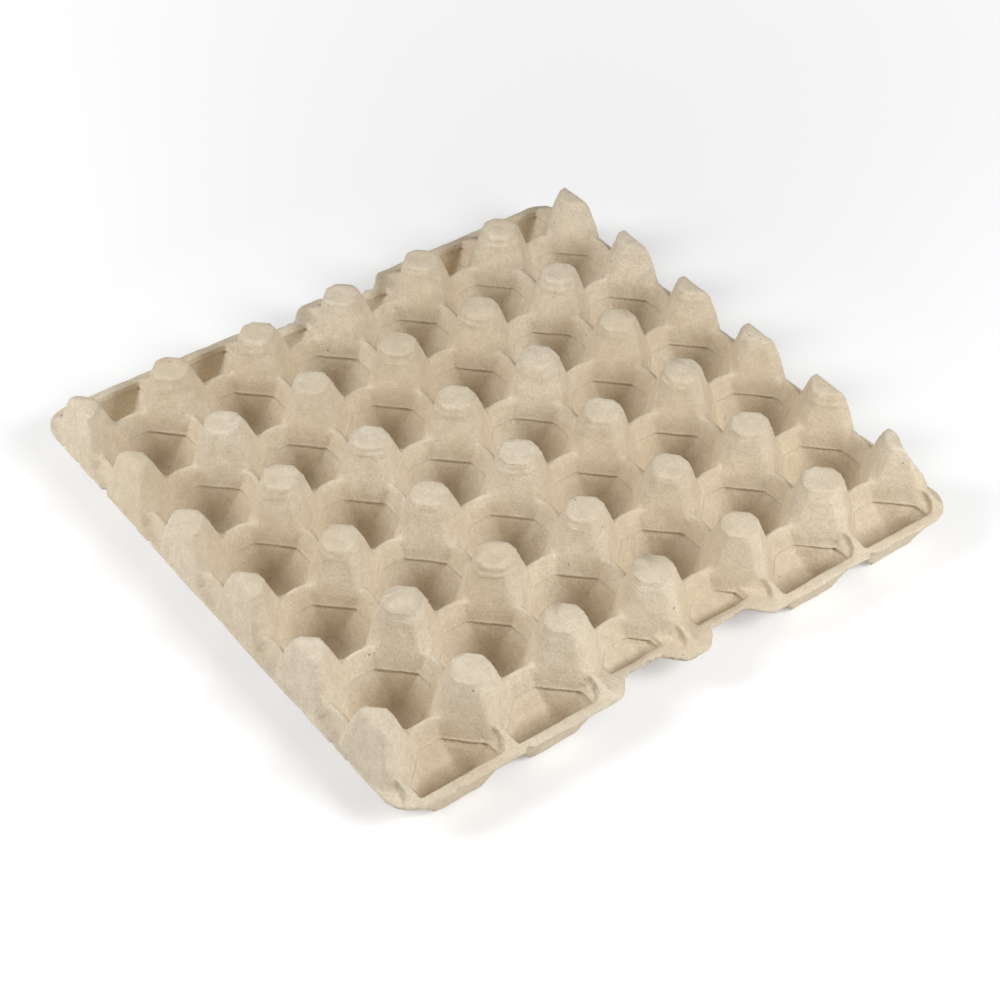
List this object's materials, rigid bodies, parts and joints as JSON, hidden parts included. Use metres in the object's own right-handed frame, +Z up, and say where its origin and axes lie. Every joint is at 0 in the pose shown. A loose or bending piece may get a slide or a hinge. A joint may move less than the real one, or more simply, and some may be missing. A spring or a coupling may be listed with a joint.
{
  "type": "pulp egg tray",
  "caption": "Square moulded pulp tray: a field of octagonal egg pockets between hollow tapered posts, with shallow half pockets and finger notches at two ends.",
  "frame": {"origin": "middle of the tray, on the surface that the pocket floors stand on", "axes": "+X along the six columns, towards a side with flat-faced posts; +Y along the five rows, towards an end with half pockets and finger notches; +Z up"},
  "size_m": [0.295, 0.295, 0.042],
  "materials": {
    "pulp": "matt recycled pulp, faintly mottled"
  },
  "bodies": {
    "root": {"tray": "pulp"}
  },
  "joints": []
}
